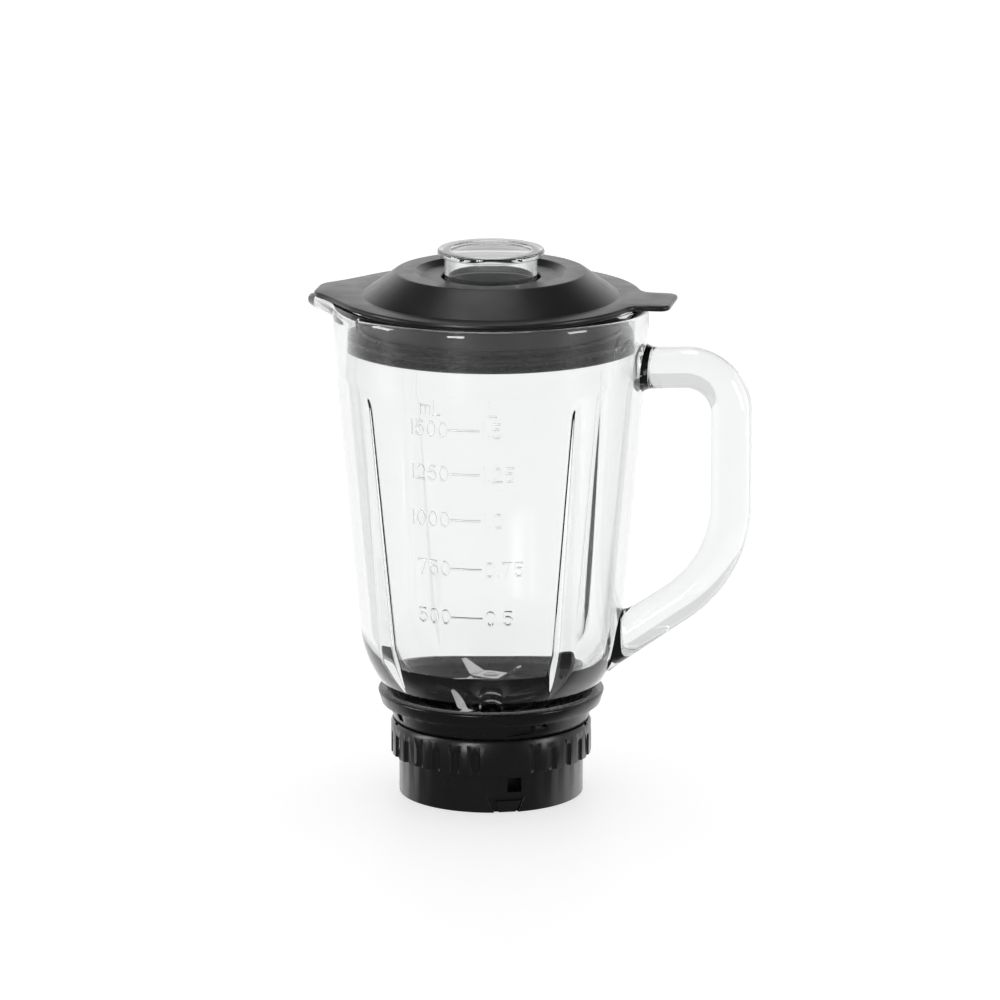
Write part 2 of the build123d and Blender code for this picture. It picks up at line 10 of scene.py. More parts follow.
import bmesh
import bpy
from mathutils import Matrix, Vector

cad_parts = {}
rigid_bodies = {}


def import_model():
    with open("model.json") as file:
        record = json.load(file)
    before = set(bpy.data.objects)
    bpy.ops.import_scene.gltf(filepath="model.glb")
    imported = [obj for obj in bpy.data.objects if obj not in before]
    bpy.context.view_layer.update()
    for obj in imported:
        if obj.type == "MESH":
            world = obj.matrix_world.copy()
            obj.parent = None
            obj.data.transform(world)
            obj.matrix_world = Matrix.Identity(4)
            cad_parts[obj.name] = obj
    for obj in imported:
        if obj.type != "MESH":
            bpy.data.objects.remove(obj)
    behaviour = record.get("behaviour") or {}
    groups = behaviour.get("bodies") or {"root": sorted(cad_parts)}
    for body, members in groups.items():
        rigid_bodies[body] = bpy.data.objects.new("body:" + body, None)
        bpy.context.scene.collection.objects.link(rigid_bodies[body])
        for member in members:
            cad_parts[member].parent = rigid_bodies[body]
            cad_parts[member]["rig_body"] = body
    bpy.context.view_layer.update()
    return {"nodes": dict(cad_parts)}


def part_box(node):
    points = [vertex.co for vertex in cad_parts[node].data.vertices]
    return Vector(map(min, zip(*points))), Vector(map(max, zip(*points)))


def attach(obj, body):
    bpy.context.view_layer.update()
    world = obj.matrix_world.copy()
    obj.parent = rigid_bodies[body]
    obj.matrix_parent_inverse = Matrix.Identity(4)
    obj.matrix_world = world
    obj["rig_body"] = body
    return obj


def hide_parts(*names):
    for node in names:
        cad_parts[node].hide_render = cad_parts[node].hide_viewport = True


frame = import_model()
NODES = frame["nodes"]

scene = bpy.context.scene

# ---------------------------------------------------------------- places, from the frame
MM = 0.001
NECK_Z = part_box("glass_jug")[0].z
LID_TOP_H = 13.2
LID_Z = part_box("lid_cover")[1].z - LID_TOP_H * MM


def mm(value):
    return value * MM


# ---------------------------------------------------------------- mesh helpers
def smax(a, b, soft):
    """The larger of two values, with a soft corner where they meet."""
    h = max(soft - abs(a - b), 0) / soft
    return max(a, b) + h * h * soft / 4


def ease(t):
    t = min(max(t, 0.0), 1.0)
    return t * t * (3 - 2 * t)


def rounded(points, steps=6):
    """A closed outline through (r, z, corner radius) points in mm, with its corners rounded."""
    outline = []
    count = len(points)
    for i, (r, z, radius) in enumerate(points):
        here = Vector((r, z))
        if radius <= 0:
            outline.append((r, z))
            continue
        before = Vector(points[i - 1][:2]) - here
        after = Vector(points[(i + 1) % count][:2]) - here
        angle = before.angle(after)
        reach = radius / math.tan(angle / 2)
        reach = min(reach, 0.49 * before.length, 0.49 * after.length)
        radius = reach * math.tan(angle / 2)
        middle = (before.normalized() + after.normalized()).normalized()
        centre = here + middle * (radius / math.sin(angle / 2))
        first = here + before.normalized() * reach - centre
        last = here + after.normalized() * reach - centre
        sweep = first.angle_signed(last)
        for k in range(steps + 1):
            turn = -sweep * k / steps
            c, s = math.cos(turn), math.sin(turn)
            p = centre + Vector((first.x * c - first.y * s, first.x * s + first.y * c))
            outline.append((p.x, p.y))
    return outline


def mesh_object(name, verts, faces, material, smooth=True):
    mesh = bpy.data.meshes.new(name)
    mesh.from_pydata(verts, [], faces)
    mesh.validate()
    bm = bmesh.new()
    bm.from_mesh(mesh)
    bmesh.ops.remove_doubles(bm, verts=bm.verts, dist=1e-7)
    bmesh.ops.recalc_face_normals(bm, faces=bm.faces)
    bm.to_mesh(mesh)
    bm.free()
    mesh.polygons.foreach_set("use_smooth", [smooth] * len(mesh.polygons))
    piece = bpy.data.objects.new(name, mesh)
    bpy.context.scene.collection.objects.link(piece)
    if material:
        mesh.materials.append(material)
    return piece


def lathe(name, outline, material, segments=256, reshape=None, sharp=35):
    """A closed outline of (r, z) in mm turned round the axis. reshape(r, z, angle) may move a point."""
    rows = len(outline)
    verts = []
    for k in range(segments):
        angle = 2 * math.pi * k / segments
        for r, z in outline:
            if reshape:
                r, z = reshape(r, z, angle)
            verts.append((mm(r) * math.cos(angle), mm(r) * math.sin(angle), mm(z)))
    faces = []
    for k in range(segments):
        following = (k + 1) % segments
        for i in range(rows):
            j = (i + 1) % rows
            if outline[i][0] < 1e-6 and outline[j][0] < 1e-6:
                continue
            quad = [k * rows + i, following * rows + i, following * rows + j, k * rows + j]
            if outline[i][0] < 1e-6:
                quad.pop(1)
            elif outline[j][0] < 1e-6:
                quad.pop(2)
            faces.append(quad)
    piece = mesh_object(name, verts, faces, material)
    if sharp:
        piece.data.set_sharp_from_angle(angle=math.radians(sharp))
    return piece


def stand_for(piece, node):
    """A finished piece takes a CAD node's place and body; the node is hidden."""
    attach(piece, NODES[node]["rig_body"])
    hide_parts(node)
    return piece


def boolean(piece, other, operation):
    """Applies an exact boolean with another object, which is used up."""
    cut = piece.modifiers.new("cut", "BOOLEAN")
    cut.operation = operation
    cut.solver = "EXACT"
    cut.object = other
    bpy.context.view_layer.update()
    evaluated = piece.evaluated_get(bpy.context.evaluated_depsgraph_get())
    mesh = bpy.data.meshes.new_from_object(evaluated)
    piece.modifiers.clear()
    old = piece.data
    piece.data = mesh
    mesh.name = piece.name
    bpy.data.meshes.remove(old)
    bpy.data.objects.remove(other)


# ---------------------------------------------------------------- materials
class Nodes:
    """A short way to build a material's node tree."""

    def __init__(self, name):
        self.material = bpy.data.materials.new(name)
        self.material.use_nodes = True
        self.tree = self.material.node_tree
        self.shader = self.tree.nodes["Principled BSDF"]
        self.place = self.add("ShaderNodeTexCoord").outputs["Object"]

    def add(self, kind, **values):
        node = self.tree.nodes.new(kind)
        for key, value in values.items():
            setattr(node, key, value)
        return node

    def link(self, a, b):
        self.tree.links.new(a, b)

    def set(self, **values):
        for key, value in values.items():
            self.shader.inputs[key.replace("_", " ")].default_value = value

    def noise(self, scale, detail=4.0, rough=0.6, stretch=None):
        node = self.add("ShaderNodeTexNoise")
        node.inputs["Scale"].default_value = scale
        node.inputs["Detail"].default_value = detail
        node.inputs["Roughness"].default_value = rough
        source = self.place
        if stretch:
            mapping = self.add("ShaderNodeMapping")
            mapping.inputs["Scale"].default_value = stretch
            self.link(source, mapping.inputs["Vector"])
            source = mapping.outputs["Vector"]
        self.link(source, node.inputs["Vector"])
        return node.outputs["Fac"]

    def span(self, source, low, high, start=0.3, end=0.7):
        node = self.add("ShaderNodeMapRange")
        for key, value in {"From Min": start, "From Max": end, "To Min": low, "To Max": high}.items():
            node.inputs[key].default_value = value
        self.link(source, node.inputs["Value"])
        return node.outputs["Result"]

    def tint(self, source, dark, light):
        ramp = self.add("ShaderNodeValToRGB")
        ramp.color_ramp.elements[0].position = 0.3
        ramp.color_ramp.elements[1].position = 0.7
        ramp.color_ramp.elements[0].color = (*dark, 1)
        ramp.color_ramp.elements[1].color = (*light, 1)
        self.link(source, ramp.inputs["Fac"])
        self.link(ramp.outputs["Color"], self.shader.inputs["Base Color"])

    def bump(self, source, height, strength=1.0):
        node = self.add("ShaderNodeBump")
        node.inputs["Strength"].default_value = strength
        node.inputs["Distance"].default_value = height
        self.link(source, node.inputs["Height"])
        self.link(node.outputs["Normal"], self.shader.inputs["Normal"])


def plastic(name, dark, light, rough, grain, sheen_rough=0.04):
    """Moulded plastic: fine spark-eroded grain, faint cloudiness and slightly uneven gloss."""
    n = Nodes(name)
    n.tint(n.noise(38, 5), dark, light)
    n.link(n.span(n.noise(90, 3), rough - sheen_rough, rough + sheen_rough), n.shader.inputs["Roughness"])
    n.bump(n.noise(2600, 2, 0.5), grain)
    n.set(IOR=1.49, Specular_IOR_Level=0.3)
    return n.material


def glass(name, face_on, edge_painted_shade, ior, ripple, density):
    """Pressed glass: uneven by microns, with painted shade that greys it where it is looked through edge on,
    and slightly absorbing.
    """
    n = Nodes(name)
    n.set(IOR=ior, Roughness=0.0, Transmission_Weight=1.0)
    # painted shade: the base colour turns from the face-on colour to the grey edge colour where the surface
    # is seen edge on
    facing = n.add("ShaderNodeLayerWeight")
    facing.inputs["Blend"].default_value = 0.5
    ramp = n.add("ShaderNodeValToRGB")
    ramp.color_ramp.elements[0].position = 0.45
    ramp.color_ramp.elements[1].position = 0.97
    ramp.color_ramp.elements[0].color = (*face_on, 1)
    ramp.color_ramp.elements[1].color = (*edge_painted_shade, 1)
    n.link(facing.outputs["Facing"], ramp.inputs["Fac"])
    n.link(ramp.outputs["Color"], n.shader.inputs["Base Color"])
    n.bump(n.noise(55, 1, 0.4), ripple)
    absorb = n.add("ShaderNodeVolumeAbsorption")
    absorb.inputs["Color"].default_value = (0.32, 0.42, 0.39, 1)
    absorb.inputs["Density"].default_value = density
    n.link(absorb.outputs["Volume"], n.tree.nodes["Material Output"].inputs["Volume"])
    return n.material


def steel(name, dark, light, rough, stretch, scratch=2e-6):
    """Ground stainless steel with fine lines along the grinding direction."""
    n = Nodes(name)
    n.set(Metallic=1.0)
    lines = n.noise(900, 3, 0.6, stretch)
    n.tint(lines, dark, light)
    n.link(n.span(lines, rough - 0.06, rough + 0.08), n.shader.inputs["Roughness"])
    n.bump(lines, scratch)
    return n.material


def rubber(name, dark, light, rough):
    n = Nodes(name)
    n.tint(n.noise(60, 4), dark, light)
    n.link(n.span(n.noise(300, 2), rough - 0.06, rough + 0.06), n.shader.inputs["Roughness"])
    n.bump(n.noise(1500, 3, 0.6), 4e-6)
    n.set(Specular_IOR_Level=0.25)
    return n.material


MAT = {
    "lid": plastic("lid_grey_plastic", (0.009, 0.009, 0.0095), (0.012, 0.012, 0.0125), 0.33, 9e-6),
    "collar": plastic("collar_black_plastic", (0.006, 0.006, 0.0065), (0.008, 0.008, 0.0085), 0.3, 8e-6),
    "ring": plastic("ring_black_plastic", (0.003, 0.003, 0.0035), (0.005, 0.005, 0.0055), 0.26, 2e-6),
    "carrier": plastic("carrier_gloss_plastic", (0.005, 0.005, 0.0055), (0.007, 0.007, 0.0075), 0.12, 2e-6),
    "spacer": plastic("black_nylon", (0.012, 0.012, 0.012), (0.018, 0.018, 0.018), 0.3, 5e-6),
    "coupling": plastic("coupling_nylon", (0.02, 0.02, 0.02), (0.03, 0.03, 0.03), 0.45, 1.5e-5),
    "lid_seal": rubber("lid_seal_rubber", (0.002, 0.002, 0.002), (0.004, 0.004, 0.004), 0.3),
    "jug_seal": rubber("jug_seal_rubber", (0.055, 0.055, 0.056), (0.075, 0.075, 0.076), 0.5),
    "shaft_seal": rubber("shaft_seal_rubber", (0.01, 0.01, 0.01), (0.016, 0.016, 0.016), 0.4),
    # painted shade: the second colour of each glass is the grey it turns to where it is seen edge on
    "glass": glass("jug_glass", (0.957, 0.96, 0.96), (0.5, 0.505, 0.505), 1.5, 2e-6, 4.5),
    "clear": glass("clear_plastic", (0.95, 0.955, 0.96), (0.5, 0.51, 0.52), 1.49, 1e-6, 4.0),
    "blade": steel("blade_steel", (0.62, 0.62, 0.62), (0.74, 0.74, 0.73), 0.2, (1, 1, 30)),
    "sleeve": steel("sleeve_steel", (0.42, 0.42, 0.41), (0.6, 0.6, 0.59), 0.24, (1, 1, 40)),
    "shaft": steel("shaft_steel", (0.5, 0.5, 0.5), (0.62, 0.62, 0.62), 0.22, (1, 1, 40)),
    "aluminium": steel("spacer_aluminium", (0.6, 0.6, 0.61), (0.72, 0.72, 0.73), 0.35, (1, 1, 40)),
    "bronze": steel("bush_bronze", (0.3, 0.17, 0.08), (0.42, 0.25, 0.12), 0.4, (1, 1, 1)),
    "brass": steel("insert_brass", (0.55, 0.38, 0.16), (0.7, 0.5, 0.24), 0.28, (1, 1, 40)),
    "spring": steel("spring_steel", (0.16, 0.16, 0.17), (0.26, 0.26, 0.27), 0.35, (1, 1, 8)),
}

NODE_MATERIAL = {
    "screw_collar": "collar",
    "blade_carrier": "carrier",
    "bearing_sleeve": "sleeve",
    "shaft_seals": "shaft_seal",
    "bearing_spacer": "aluminium",
    "lower_bearing": "bronze",
    "bearing_circlip": "spring",
    "jug_seal": "jug_seal",
    "glass_jug": "glass",
    "jug_ring": "ring",
    "lid_cover": "lid",
    "lid_seal": "lid_seal",
    "measuring_cap": "clear",
    "drive_shaft": "shaft",
    "upper_blade": "blade",
    "lower_blade": "blade",
    "blade_spacer": "spacer",
    "drive_coupling": "coupling",
    "coupling_insert": "brass",
    "thrust_washer": "shaft",
}
for node_name, material_name in NODE_MATERIAL.items():
    slots = NODES[node_name].data.materials
    slots.clear()
    slots.append(MAT[material_name])

# ---------------------------------------------------------------- glass jug
JUG_H = 209.0
NECK_R, NECK_BORE_R = 41.8, 36.5
RIM_R, RIM_BORE_R = 72.0, 66.1
RIM_ROUND = 2.7
BOWL = (51.5, 45.5)
HIP, HIP_CORNER, HIP_END = (40.2, 30.4), (38.7, 28.4), (38.0, 26.0)
FOOT_R, FOOT_TOP = 60.2, 57.0
FOOT_BORE_R = 54.9
WALL_R, WALL_TOP = 70.9, 177.0
WALL_BORE_R = 65.5
FLARE_R, FLARE_TOP = 47.4, 27.6
NECK_TOP = 17.0
SPOUT_LINE, SPOUT_TURN = 70.05, math.radians(34.15)
SPOUT_TIP_X, SPOUT_TIP_R = 78.4, 6.6
SPOUT_WALL = 4.6
SPOUT_DEPTH = 22
SPOUT_HALF = math.radians(40)
# how the spout's outer face falls back below the rim: (how far, from this depth, over this length)
SPOUT_FALLS = [(10.5, 3.5, 9.5), (4.5, 9, 9)]
SPOUT_OUTER_SOFT, SPOUT_INNER_SOFT = 2.2, 1.6
SPOUT_FLOOR, SPOUT_FLOOR_RUN = 1.4, 3.8
RIB_TURNS = [math.radians(a) for a in (45, 135, 225, 315)]
RIB_TOP, RIB_NOSE, RIB_TOP_H = 171.0, 8.0, 1.3
RIB_KNEE, RIB_KNEE_H, RIB_KNEE_R = 55.0, 4.0, 50.7
RIB_FOOT, RIB_FOOT_R = 27.0, 40.2
RIB_SLOPE = 0.85
RIDGE_R, RIDGE_MID, RIDGE_ARC, RIDGE_CLIMB = 43.0, 5.3, 64.0, 2.4
RIDGE_PITCH, RIDGE_END, RIDGE_HALF, RIDGE_FLANK = 90, 4, 1.5, 1.3
JUG_SEGMENTS = 720


def arc_between(p, tangent, q, steps):
    """Points of the arc that leaves p along tangent and ends at q, both ends included."""
    p, q, t = Vector(p), Vector(q), Vector(tangent).normalized()
    chord = q - p
    half = t.angle_signed(chord)
    if abs(half) < 1e-4:
        return [p.lerp(q, k / steps) for k in range(steps + 1)]
    radius = chord.length / (2 * math.sin(abs(half)))
    side = -1 if half > 0 else 1
    centre = p + Vector((-t.y, t.x)) * radius * side
    spoke = p - centre
    points = []
    for k in range(steps + 1):
        turn = side * 2 * abs(half) * k / steps
        c, s = math.cos(turn), math.sin(turn)
        points.append(centre + Vector((spoke.x * c - spoke.y * s, spoke.x * s + spoke.y * c)))
    return points


def spout_reach(turn, wall):
    """How far the spout stands out at the rim, wall inside its outer face, at a turn from -X."""
    tip_r = SPOUT_TIP_R - wall
    line = (SPOUT_LINE - wall) / math.cos(turn - SPOUT_TURN)
    across = SPOUT_TIP_X * math.sin(turn)
    if abs(across) < tip_r * math.cos(SPOUT_TURN) * 0.9:
        tip = SPOUT_TIP_X * math.cos(turn) + math.sqrt(tip_r**2 - across**2)
        return min(line, tip)
    return line


def from_spout(angle):
    """The unsigned turn of a polar angle away from -X."""
    return abs(math.atan2(math.sin(angle - math.pi), math.cos(angle - math.pi)))


def outer_spout(angle, depth):
    turn = from_spout(angle)
    if turn > SPOUT_HALF:
        return 0.0
    full = spout_reach(turn, 0.0) - RIM_R
    lost = sum(fall * ease((depth - start) / run) for fall, start, run in SPOUT_FALLS)
    return smax(full - lost, 0.0, SPOUT_OUTER_SOFT) if depth < SPOUT_DEPTH else 0.0


def inner_spout(angle, depth):
    turn = from_spout(angle)
    if turn > SPOUT_HALF:
        return 0.0
    full = smax(spout_reach(turn, SPOUT_WALL) - RIM_BORE_R, 0.0, SPOUT_INNER_SOFT)
    return full * (1 - ease((depth - SPOUT_FLOOR) / SPOUT_FLOOR_RUN))


def rib(angle, r, z):
    """How far an inner rib stands in from the wall: blunt at its top, deeper towards its foot."""
    if not RIB_FOOT - 1 < z < RIB_TOP:
        return 0.0
    if z > RIB_KNEE:
        shoulder = RIB_TOP - RIB_NOSE
        height = RIB_KNEE_H + (RIB_TOP_H - RIB_KNEE_H) * (z - RIB_KNEE) / (shoulder - RIB_KNEE)
        if z > shoulder:
            height = RIB_TOP_H * math.sqrt(1 - ((z - shoulder) / RIB_NOSE) ** 2)
    else:
        along = (z - RIB_FOOT) / (RIB_KNEE - RIB_FOOT)
        height = r - (RIB_FOOT_R + (RIB_KNEE_R - RIB_FOOT_R) * along)
    nearest = min(abs(math.atan2(math.sin(angle - t), math.cos(angle - t))) for t in RIB_TURNS)
    across = r * nearest
    soft = min(0.8, max(height, 0.05))
    return max(0.0, smax(height - RIB_SLOPE * (math.sqrt(across**2 + 0.5) - 0.7), 0.0, soft))


def thread(angle, z):
    """How far a thread ridge stands out from the neck."""
    turn = (math.degrees(angle) + RIDGE_ARC / 2) % RIDGE_PITCH
    if turn > RIDGE_ARC:
        return 0.0
    ends = ease(turn / RIDGE_END) * ease((RIDGE_ARC - turn) / RIDGE_END)
    middle = RIDGE_MID + RIDGE_CLIMB * (turn / RIDGE_ARC - 0.5)
    flank = ease((RIDGE_HALF - abs(z - middle)) / RIDGE_FLANK)
    return (RIDGE_R - NECK_R) * ends * flank


def jug_profile():
    """Outer rows from the neck's edge up to the rim, inner rows down again, and the neck's inner edge."""
    neck = rounded([(NECK_BORE_R, 0, 1.4), (NECK_R, 0, 1.6), (NECK_R, 20, 0), (NECK_BORE_R, 20, 0)], 6)
    outside = [(r, z) for r, z in neck if z < 10 and r > 40]
    edge = [(r, z) for r, z in neck if z < 10 and r <= 40]
    lean = (WALL_R - FOOT_R) / (WALL_TOP - FOOT_TOP)
    for k in range(1, 31):
        outside.append((NECK_R, 1.6 + (NECK_TOP - 1.6) * k / 30))
    foot = arc_between((FOOT_R, FOOT_TOP), (-lean, -1), (FLARE_R, FLARE_TOP), 24)
    for k in range(1, 8):
        t = k / 8
        outside.append((NECK_R + (FLARE_R - NECK_R) * t, NECK_TOP + (FLARE_TOP - NECK_TOP) * t))
    outside += [(p.x, p.y) for p in reversed(foot)]
    for k in range(1, 25):
        t = k / 24
        outside.append((FOOT_R + (WALL_R - FOOT_R) * t, FOOT_TOP + (WALL_TOP - FOOT_TOP) * t))
    rim_z = JUG_H - RIM_ROUND
    shoulder = arc_between((WALL_R, WALL_TOP), (lean, 1), (RIM_R, rim_z), 44)
    outside += [(min(p.x, RIM_R), p.y) for p in shoulder[1:]]

    inner = []
    for k in range(0, 70):
        t = k / 70
        z = rim_z - (rim_z - WALL_TOP) * t * (0.35 + 0.65 * t)
        inward = (RIM_BORE_R - WALL_BORE_R) * ease((JUG_H - z) / (JUG_H - WALL_TOP))
        inner.append((RIM_BORE_R - inward, z))
    for k in range(0, 60):
        t = k / 60
        inner.append((WALL_BORE_R - (WALL_BORE_R - FOOT_BORE_R) * t, WALL_TOP - (WALL_TOP - FOOT_TOP) * t))
    bowl = arc_between((FOOT_BORE_R, FOOT_TOP), (-lean, -1), BOWL, 24)
    bowl += [Vector(BOWL).lerp(Vector(HIP), k / 16) for k in range(1, 17)]
    for k in range(1, 8):
        towards = Vector(HIP).lerp(Vector(HIP_CORNER), k / 7)
        onwards = Vector(HIP_CORNER).lerp(Vector(HIP_END), k / 7)
        bowl.append(towards.lerp(onwards, k / 7))
    inner += [(p.x, p.y) for p in bowl]
    for k in range(1, 11):
        t = k / 10
        inward = (HIP_END[0] - NECK_BORE_R) * min(1, 2 * t)
        inner.append((HIP_END[0] - inward, HIP_END[1] - (HIP_END[1] - 2) * t))
    return outside, inner, edge


def glass_body(material):
    outside, inner, edge = jug_profile()
    rim_steps = 14
    verts, faces = [], []
    rows = len(outside) + rim_steps - 1 + len(inner) + len(edge)
    for k in range(JUG_SEGMENTS):
        angle = 2 * math.pi * k / JUG_SEGMENTS
        c, s = math.cos(angle), math.sin(angle)
        column = []
        for r, z in outside:
            column.append((r + outer_spout(angle, JUG_H - z) + thread(angle, z), z))
        r_out = RIM_R + outer_spout(angle, 0)
        r_in = RIM_BORE_R + inner_spout(angle, 0)
        middle, half = (r_out + r_in) / 2, (r_out - r_in) / 2
        for j in range(1, rim_steps):
            turn = math.pi * j / rim_steps
            column.append((middle + half * math.cos(turn), JUG_H - RIM_ROUND + RIM_ROUND * math.sin(turn)))
        for r, z in inner:
            column.append((r + inner_spout(angle, JUG_H - z - RIM_ROUND) - rib(angle, r, z), z))
        column += edge
        verts += [(mm(r) * c, mm(r) * s, NECK_Z + mm(z)) for r, z in column]
    for k in range(JUG_SEGMENTS):
        following = (k + 1) % JUG_SEGMENTS
        for i in range(rows):
            j = (i + 1) % rows
            faces.append((k * rows + i, following * rows + i, following * rows + j, k * rows + j))
    return mesh_object("jug", verts, faces, material)


HANDLE_R = 9.5
HANDLE_PATH = [(66.0, 179.6), (110.6, 182.0), (110.6, 88.7), (50.0, 45.5)]
HANDLE_BENDS = [20.5, 58.0]
HANDLE_MID = 120
WELD_REACH, WELD_FADE = 4.5, 2.3
WELD_UPPER, WELD_LOWER, WELD_LOWER_TILT = 1.5, 1.3, 0.6
FOOT_ARC_R, FOOT_ARC_Z, FOOT_ARC = 9.6, 61.5, 50.8


def handle_line():
    """Points of the handle's centreline in mm, with its two bends as arcs."""
    line = [Vector(HANDLE_PATH[0])]
    for i, radius in enumerate(HANDLE_BENDS, start=1):
        here = Vector(HANDLE_PATH[i])
        before = (Vector(HANDLE_PATH[i - 1]) - here).normalized()
        after = (Vector(HANDLE_PATH[i + 1]) - here).normalized()
        reach = radius / math.tan(before.angle(after) / 2)
        arc = arc_between(here + before * reach, -before, here + after * reach, 24)
        line += [line[-1].lerp(arc[0], 0.5)] + arc
    end = Vector(HANDLE_PATH[-1])
    line += [line[-1].lerp(end, 0.35), line[-1].lerp(end, 0.7), end]
    return line


def resample(line, step):
    points, left = [line[0]], step
    for a, b in zip(line, line[1:]):
        length = (b - a).length
        at = left
        while at < length:
            points.append(a.lerp(b, at / length))
            at += step
        left = at - length
    points.append(line[-1])
    return points


def wall_radius(z):
    """The jug's outer radius at a height, in mm."""
    if z > FOOT_TOP:
        return min(RIM_R, FOOT_R + (WALL_R - FOOT_R) * (z - FOOT_TOP) / (WALL_TOP - FOOT_TOP))
    return FOOT_ARC_R + math.sqrt(max(0.0, FOOT_ARC**2 - (FOOT_ARC_Z - z) ** 2))


def weld_flare(away, upper, turn):
    """How far the rod swells near the wall: less under the lower arm, where it leaves obtusely."""
    size = WELD_UPPER if upper else WELD_LOWER - WELD_LOWER_TILT * math.cos(turn)
    if away <= 0:
        return size
    return size * max(0.0, 1 - away / WELD_REACH) ** WELD_FADE


def handle_rod(material):
    """The handle as a rod that flares where it is welded to the wall."""
    line = resample(handle_line(), 0.8)
    around = 72
    verts, faces = [], []
    for i, p in enumerate(line):
        ahead = line[min(i + 1, len(line) - 1)] - line[max(i - 1, 0)]
        t = ahead.normalized()
        normal = Vector((-t.y, t.x))
        for k in range(around):
            turn = 2 * math.pi * k / around
            q = p + normal * HANDLE_R * math.cos(turn)
            side = HANDLE_R * math.sin(turn)
            away = math.hypot(q.x, side) - wall_radius(q.y)
            swell = weld_flare(away, q.y > HANDLE_MID, turn)
            q += normal * swell * math.cos(turn)
            side += swell * math.sin(turn)
            verts.append((mm(q.x), mm(side), NECK_Z + mm(q.y)))
    for i in range(len(line) - 1):
        for k in range(around):
            n = (k + 1) % around
            faces.append((i * around + k, i * around + n, (i + 1) * around + n, (i + 1) * around + k))
    last = (len(line) - 1) * around
    faces.append(tuple(range(around)))
    faces.append(tuple(last + k for k in reversed(range(around))))
    return mesh_object("handle_rod", verts, faces, material)


CORE_R, CORE_BOTTOM, CORE_LOW, CORE_TOP = 38.0, 5.0, 20, JUG_H - 4
CORE_FOOT_Z, CORE_GAP = 24, 2.4


def jug_core():
    """A solid that fills the jug's inside and middle of its wall, to trim the handle's ends."""
    outline = [(0.0, CORE_BOTTOM), (CORE_R, CORE_BOTTOM)]
    for k in range(61):
        z = CORE_LOW + (CORE_TOP - CORE_LOW) * k / 60
        outline.append((wall_radius(max(z, CORE_FOOT_Z)) - CORE_GAP, z))
    outline.append((0.0, CORE_TOP))
    outline = [(r, z + NECK_Z / MM) for r, z in outline]
    return lathe("jug_core", outline, None, 128)


# ---------------------------------------------------------------- moulded volume scale
SCALE_ROWS = [
    (163.6, "1500", "1.5"),
    (142.9, "1250", "1.25"),
    (121.2, "1000", "1.0"),
    (98.2, "750", "0.75"),
    (75.1, "500", "0.5"),
]
HEADING_Z = 170.4
LETTER_H = 6.3
LETTER_GAP = 0.95
STROKE_W = 0.95
RELIEF = 0.42
SUNK = 0.6
STROKE_END = 0.8
TICK_HALF = 6.7
TICK_TO_ML, TICK_TO_LITRES = 0.9, 1.6
HEADING_TO_ML, HEADING_TO_LITRES = 4.0, 4.5
REAR_HEADING_Z, REAR_OZ_X, REAR_CUPS_X = HEADING_Z - 4.0, -2.7, 7.0
FRONT_FACE, BACK_FACE = math.radians(-90), math.radians(90)


def bow(x, y, rx, ry, start, end, steps=12):
    """Points of an arc of an ellipse round (x, y), its angles in degrees."""
    points = []
    for k in range(steps + 1):
        turn = math.radians(start + (end - start) * k / steps)
        points.append((x + rx * math.cos(turn), y + ry * math.sin(turn)))
    return points


# Each letter is its width and its strokes on a grid one unit high. A stroke that ends where it
# began is a closed ring. Strokes never touch each other, so that they fuse cleanly.
ROUND = bow(0.3, 0.5, 0.3, 0.5, 90, 450, 26)
ROUND[-1] = ROUND[0]
LETTERS = {
    "0": (0.6, [ROUND]),
    "1": (0.04, [[(0.02, 0), (0.02, 1)]]),
    "2": (0.58, [bow(0.29, 0.71, 0.28, 0.29, 165, -38, 12) + [(0.02, 0), (0.58, 0)]]),
    "5": (0.58, [[(0.53, 1), (0.09, 1), (0.04, 0.6)] + bow(0.29, 0.32, 0.29, 0.32, 92, -150, 16)]),
    "7": (0.56, [[(0.0, 1), (0.56, 1), (0.2, 0)]]),
    ".": (0.04, [[(0.02, 0), (0.02, 0.06)]]),
    "m": (
        0.72,
        [
            [(0.0, 0), (0.0, 0.66)],
            [(0.19, 0.63)] + bow(0.24, 0.48, 0.12, 0.15, 90, 0, 6) + [(0.36, 0)],
            [(0.55, 0.63)] + bow(0.6, 0.48, 0.12, 0.15, 90, 0, 6) + [(0.72, 0)],
        ],
    ),
    "L": (0.48, [[(0.0, 1), (0.0, 0), (0.48, 0)]]),
    "O": (0.6, [ROUND]),
    "Z": (0.58, [[(0.0, 1), (0.58, 1), (0.0, 0), (0.58, 0)]]),
    "C": (0.56, [bow(0.33, 0.5, 0.33, 0.5, 48, 312, 20)]),
    "U": (0.58, [[(0.0, 1), (0.0, 0.3)] + bow(0.29, 0.3, 0.29, 0.3, 190, 350, 12) + [(0.58, 1)]]),
    "P": (
        0.54,
        [[(0.0, 0), (0.0, 1), (0.28, 1)] + bow(0.28, 0.74, 0.26, 0.26, 80, -90, 10) + [(0.19, 0.48)]],
    ),
    "S": (
        0.54,
        [bow(0.27, 0.74, 0.26, 0.26, 30, 250, 12) + bow(0.27, 0.25, 0.27, 0.25, 70, -150, 12)],
    ),
}


def word_strokes(text, x, z, from_right=False):
    """The strokes of a word in mm, its lower corner at (x, z)."""
    widths = [LETTERS[c][0] * LETTER_H for c in text]
    total = sum(widths) + (LETTER_GAP + STROKE_W) * (len(text) - 1)
    at = x - total - STROKE_W / 2 if from_right else x + STROKE_W / 2
    strokes = []
    for c, width in zip(text, widths):
        for line in LETTERS[c][1]:
            strokes.append([(at + u * LETTER_H, z + v * LETTER_H) for u, v in line])
        at += width + LETTER_GAP + STROKE_W
    return strokes


